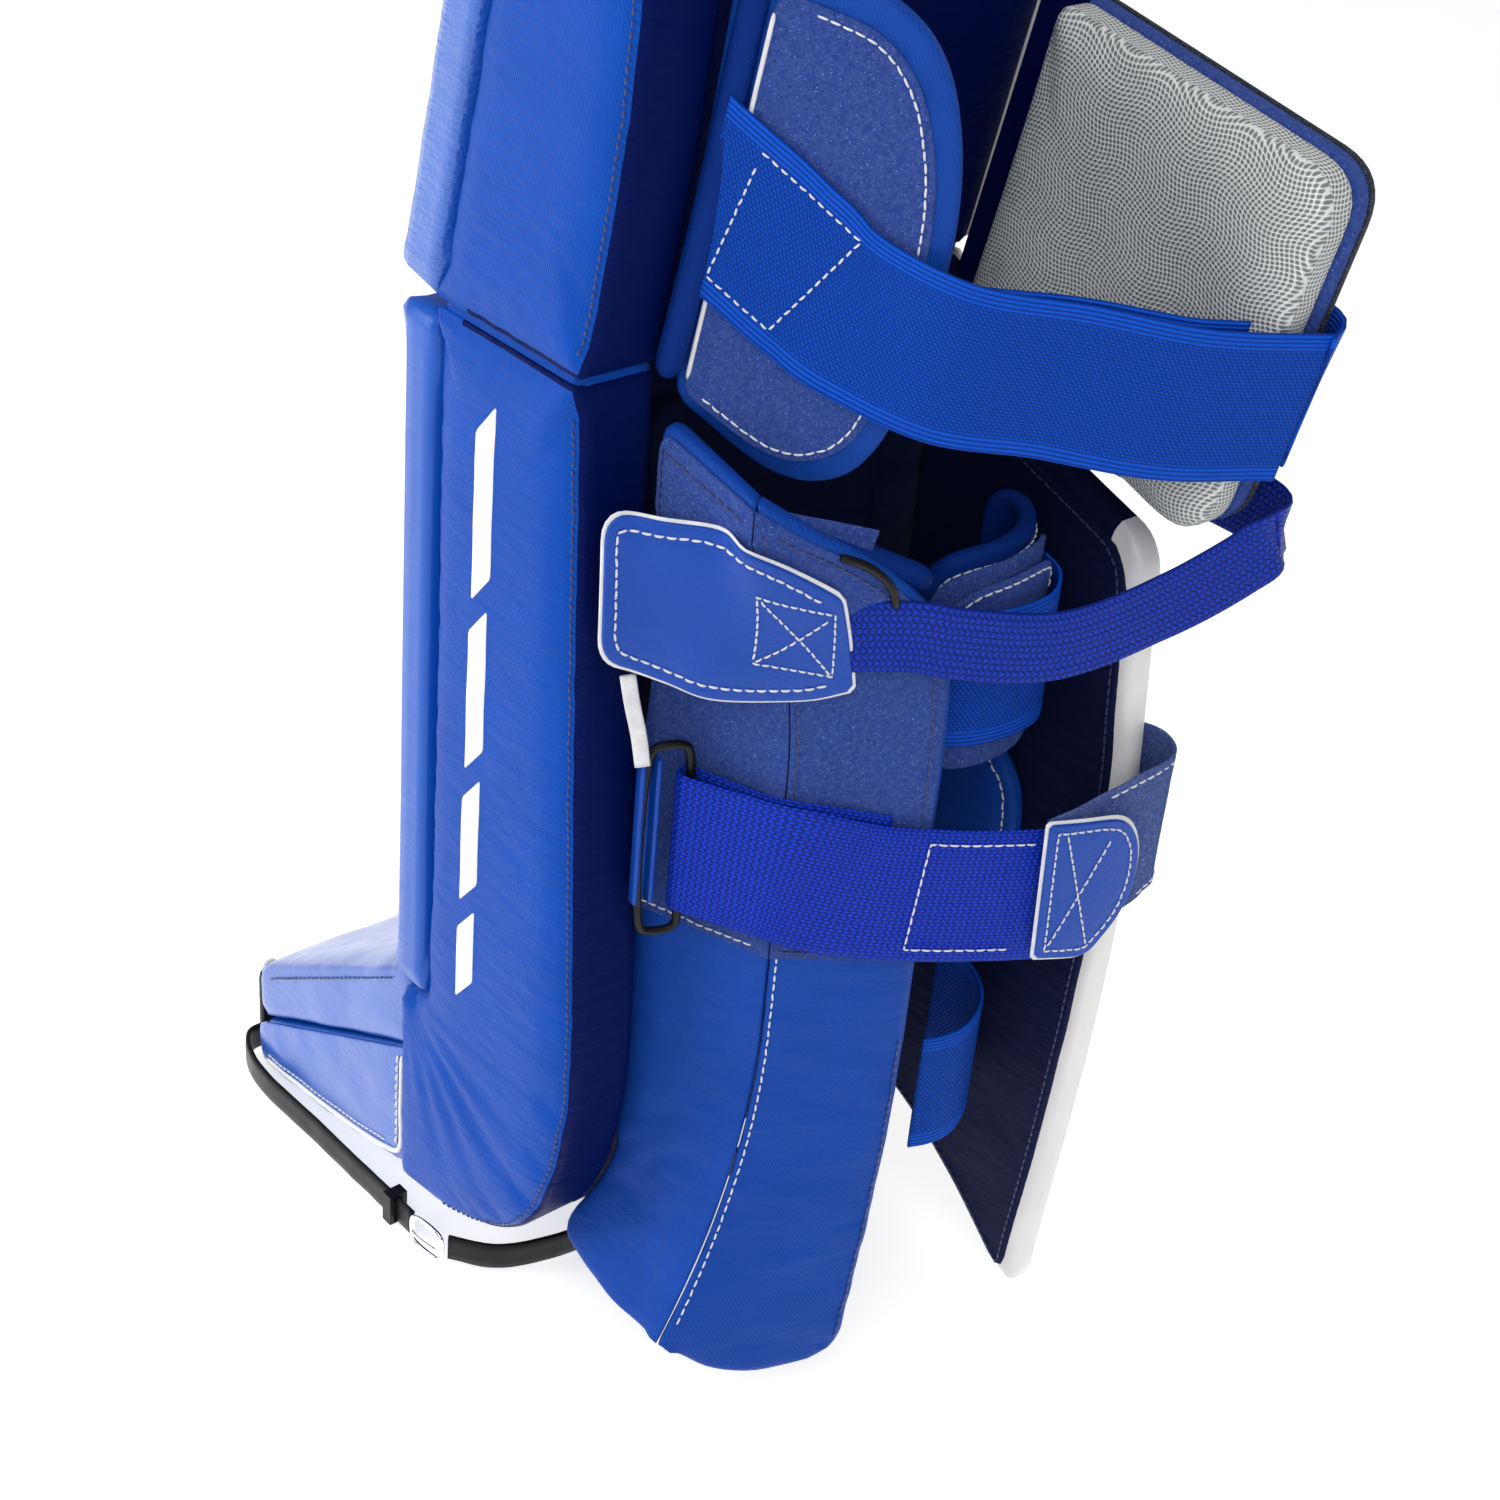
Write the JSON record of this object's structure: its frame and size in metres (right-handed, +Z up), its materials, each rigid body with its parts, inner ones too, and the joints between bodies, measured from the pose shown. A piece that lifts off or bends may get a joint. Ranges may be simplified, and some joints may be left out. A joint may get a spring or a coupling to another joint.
{
  "type": "hockey goalie leg pad",
  "caption": "Left leg pad of an ice-hockey goaltender: padded front face, outer roll, hinged boot and thigh rise, knee landing block, side wings and closure straps.",
  "frame": {"origin": "middle of the flat floor of the padded shin cradle", "axes": "+Z up along the shin, +X to the outer (lateral) side of the left leg, -Y to the front face, +Y to the back where the leg lies"},
  "size_m": [0.3017, 0.5336, 0.8785],
  "materials": {
    "leather_blue": "smooth pebbled synthetic leather, satin",
    "nylon_blue": "coated nylon pack cloth",
    "lining_navy": "brushed lining cloth",
    "loop_blue": "loop side of hook and loop fastener, napped",
    "webbing_blue": "woven webbing",
    "elastic_blue": "ribbed woven elastic",
    "mesh_grey": "spacer mesh",
    "leather_white": "smooth sliding leather",
    "leather_black": "smooth leather",
    "ring_plastic": "moulded nylon",
    "buckle_steel": "polished nickel plate",
    "foam": "closed-cell foam block",
    "board_plastic": "polyethylene sheet"
  },
  "bodies": {
    "shin": {"shin_face_cover": "leather_blue", "shin_face_foam": "foam", "shin_stiffener_board": "board_plastic", "shin_core_foam": "foam", "leg_channel_lining": "lining_navy", "shin_medial_gusset": "leather_white", "outer_roll_lower_cover": "nylon_blue", "outer_roll_lower_foam": "foam", "shin_cradle_pad": "lining_navy", "ring_anchor": "leather_blue", "upper_strap_anchor": "webbing_blue"},
    "boot": {"boot_face_cover": "leather_blue", "boot_face_foam": "foam", "boot_wall_foam": "foam", "boot_side_panel_lateral": "leather_blue", "boot_side_panel_medial": "leather_white", "boot_piping": "leather_white", "toe_bridge": "leather_black", "toe_lace": "leather_white"},
    "toe_strap": {"toe_strap_front": "leather_black", "toe_strap_rear": "leather_black", "toe_strap_keeper": "leather_black"},
    "toe_buckle": {"toe_buckle_frame": "buckle_steel"},
    "toe_prong": {"toe_buckle_prong": "buckle_steel"},
    "thigh_rise": {"thigh_face_cover": "leather_blue", "thigh_face_foam": "foam", "thigh_stiffener_board": "board_plastic", "thigh_core_foam": "foam", "thigh_back_cover": "lining_navy", "thigh_medial_gusset": "leather_white", "outer_roll_upper_cover": "nylon_blue", "outer_roll_upper_foam": "foam", "knee_block_hinge_strip": "nylon_blue"},
    "knee_wing": {"knee_wing_pad": "nylon_blue", "knee_wing_loop_panel": "loop_blue"},
    "knee_block": {"knee_block_face_cover": "mesh_grey", "knee_block_foam": "foam", "knee_block_backing_pad": "loop_blue", "knee_strap_anchor": "elastic_blue"},
    "knee_strap": {"knee_strap_elastic": "elastic_blue", "knee_strap_inner_layer": "elastic_blue"},
    "upper_strap": {"upper_strap_webbing": "webbing_blue", "upper_strap_tab": "leather_blue"},
    "calf_wing_front": {"calf_wing_front_pad": "nylon_blue", "calf_wing_loop_front": "loop_blue"},
    "calf_wing_rear": {"calf_wing_rear_pad": "nylon_blue", "calf_wing_loop_rear": "loop_blue"},
    "medial_wing": {"medial_wing_slide_cover": "leather_white", "medial_wing_foam": "foam", "medial_wing_inner_cover": "lining_navy", "ankle_side_pad": "nylon_blue", "ankle_elastic": "elastic_blue", "lower_loop_strip": "loop_blue"},
    "calf_wrap": {"calf_wrap_pad": "nylon_blue", "calf_wrap_loop_layers": "loop_blue", "calf_wrap_elastic": "elastic_blue"},
    "ring": {"strap_ring": "ring_plastic"},
    "lower_strap": {"lower_strap_webbing": "webbing_blue", "lower_strap_tab": "leather_blue"}
  },
  "joints": [
    {"name": "boot_flex", "type": "hinge", "parent": "shin", "child": "boot", "pos_m": [0, -0.106, -0.198], "axis": [1, 0, 0], "range_deg": [-10, 0]},
    {"name": "toe_strap_swing", "type": "hinge", "parent": "boot", "child": "toe_strap", "pos_m": [0.116, -0.286, -0.374], "axis": [1, 0, 0], "range_deg": [-30, 2]},
    {"name": "toe_buckle_tilt", "type": "hinge", "parent": "toe_strap", "child": "toe_buckle", "pos_m": [0.1328, -0.0605, -0.374], "axis": [0, 0, 1], "range_deg": [-25, 0]},
    {"name": "toe_prong_tilt", "type": "hinge", "parent": "toe_buckle", "child": "toe_prong", "pos_m": [0.1366, -0.086, -0.374], "axis": [0, 0, 1], "range_deg": [-30, 0]},
    {"name": "thigh_flex", "type": "hinge", "parent": "shin", "child": "thigh_rise", "pos_m": [0, -0.006, 0.215], "axis": [1, 0, 0], "range_deg": [-4, 3]},
    {"name": "knee_wing_swing", "type": "hinge", "parent": "thigh_rise", "child": "knee_wing", "pos_m": [0.089, 0.05771, 0.29347], "axis": [0, 0.2079, 0.9781], "range_deg": [0, 12]},
    {"name": "knee_block_swing", "type": "hinge", "parent": "thigh_rise", "child": "knee_block", "pos_m": [-0.134, 0.03973, 0.26662], "axis": [0, 0.2079, 0.9781], "range_deg": [0, 3]},
    {"name": "knee_strap_open", "type": "hinge", "parent": "knee_block", "child": "knee_strap", "pos_m": [-0.14, 0.21917, 0.21621], "axis": [0, 0.2079, 0.9781], "range_deg": [0, 100]},
    {"name": "upper_strap_open", "type": "hinge", "parent": "shin", "child": "upper_strap", "pos_m": [-0.152, 0.21, 0.14], "axis": [0, 0, 1], "range_deg": [0, 110]},
    {"name": "calf_wing_swing", "type": "hinge", "parent": "shin", "child": "calf_wing_front", "pos_m": [0.079, 0.026, -0.045], "axis": [0, 0, 1], "range_deg": [0, 5]},
    {"name": "calf_wing_fold", "type": "hinge", "parent": "calf_wing_front", "child": "calf_wing_rear", "pos_m": [0.041, 0.092, -0.045], "axis": [0, 0, 1], "range_deg": [0, 1.2]},
    {"name": "medial_wing_swing", "type": "hinge", "parent": "shin", "child": "medial_wing", "pos_m": [-0.132, -0.003, -0.125], "axis": [0, 0, 1], "range_deg": [-3, 0]},
    {"name": "calf_wrap_swing", "type": "hinge", "parent": "medial_wing", "child": "calf_wrap", "pos_m": [-0.118, 0.114, 0.032], "axis": [0, 0, 1], "range_deg": [-20, 8]},
    {"name": "ring_tilt", "type": "hinge", "parent": "shin", "child": "ring", "pos_m": [0.1021, 0.0577, -0.028], "axis": [0, 0, 1], "range_deg": [-5, 0]},
    {"name": "lower_strap_open", "type": "hinge", "parent": "ring", "child": "lower_strap", "pos_m": [0.084, 0.065, -0.029], "axis": [0, 0, 1], "range_deg": [-90, 0]}
  ]
}
